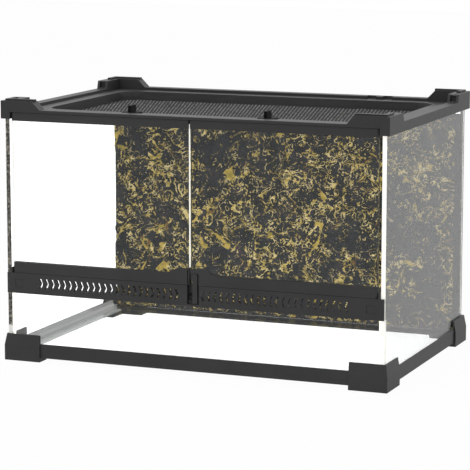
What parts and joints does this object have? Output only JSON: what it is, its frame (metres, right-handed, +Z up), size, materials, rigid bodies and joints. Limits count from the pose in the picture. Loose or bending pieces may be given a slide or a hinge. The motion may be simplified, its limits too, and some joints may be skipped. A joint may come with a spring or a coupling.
{
  "type": "reptile terrarium",
  "caption": "Front opening glass terrarium with two hinged doors, a sliding lock, a chevron vent strip, a lift-off mesh lid with turning knobs and a foam rock background.",
  "frame": {"origin": "on the floor under the middle of the tank", "axes": "+Z up, +X to the right seen from the front, doors face -Y"},
  "size_m": [0.455, 0.299, 0.2966],
  "materials": {
    "tank_glass": "clear float glass with ground edges",
    "door_glass": "clear float glass with ground edges",
    "silicone": "clear to milky silicone",
    "foam": "hand brushed rock relief in foam, charcoal with ochre ridges",
    "mesh": "black coated wire mesh",
    "steel": "plain steel",
    "knob_plastic": "black moulded plastic",
    "cap_plastic": "fine textured dark grey",
    "base_plastic": "fine textured dark grey",
    "front_plastic": "fine textured dark grey",
    "frame_plastic": "fine textured dark grey"
  },
  "bodies": {
    "tank": {"foot_front_left": "base_plastic", "foot_front_right": "base_plastic", "foot_rear_left": "base_plastic", "foot_rear_right": "base_plastic", "rail_front": "base_plastic", "rail_rear": "base_plastic", "rail_left": "base_plastic", "rail_right": "base_plastic", "glass_floor": "tank_glass", "glass_left": "tank_glass", "glass_right": "tank_glass", "glass_rear": "tank_glass", "glass_front": "tank_glass", "silicone": "silicone", "vent_strip_left": "front_plastic", "vent_strip_right": "front_plastic", "lock_seat": "front_plastic", "strip_plugs": "front_plastic", "frame_front": "frame_plastic", "frame_rear": "frame_plastic", "frame_left": "frame_plastic", "frame_right": "frame_plastic", "cap_front_left": "cap_plastic", "cap_front_right": "cap_plastic", "cap_rear_left": "cap_plastic", "cap_rear_right": "cap_plastic", "background": "foam"},
    "left_door": {"door_left_glass": "door_glass", "door_left_top": "front_plastic", "door_left_bottom": "front_plastic", "door_left_catch": "front_plastic", "door_left_pins": "steel"},
    "right_door": {"door_right_glass": "door_glass", "door_right_top": "front_plastic", "door_right_bottom": "front_plastic", "door_right_pins": "steel"},
    "lock": {"door_lock": "front_plastic"},
    "lid": {"lid_frame": "frame_plastic", "lid_mesh": "mesh"},
    "left_knob": {"knob_left": "knob_plastic", "knob_left_tongue": "knob_plastic", "knob_left_screw": "steel"},
    "right_knob": {"knob_right": "knob_plastic", "knob_right_tongue": "knob_plastic", "knob_right_screw": "steel"}
  },
  "joints": [
    {"name": "left_door_hinge", "type": "hinge", "parent": "tank", "child": "left_door", "pos_m": [-0.2119, -0.1445, 0.2], "axis": [0, 0, -1], "range_deg": [0, 90]},
    {"name": "right_door_hinge", "type": "hinge", "parent": "tank", "child": "right_door", "pos_m": [0.2119, -0.1445, 0.2], "axis": [0, 0, 1], "range_deg": [0, 90]},
    {"name": "lock_slide", "type": "slide", "parent": "right_door", "child": "lock", "axis": [-1, 0, 0], "range_m": [0, 0.006]},
    {"name": "lid_lift", "type": "slide", "parent": "tank", "child": "lid", "axis": [0, 0, 1], "range_m": [0, 0.06]},
    {"name": "left_knob_turn", "type": "hinge", "parent": "lid", "child": "left_knob", "pos_m": [-0.08, -0.1205, 0.284], "axis": [0, 0, -1], "range_deg": [0, 90]},
    {"name": "right_knob_turn", "type": "hinge", "parent": "lid", "child": "right_knob", "pos_m": [0.08, -0.1205, 0.284], "axis": [0, 0, 1], "range_deg": [0, 90]}
  ]
}
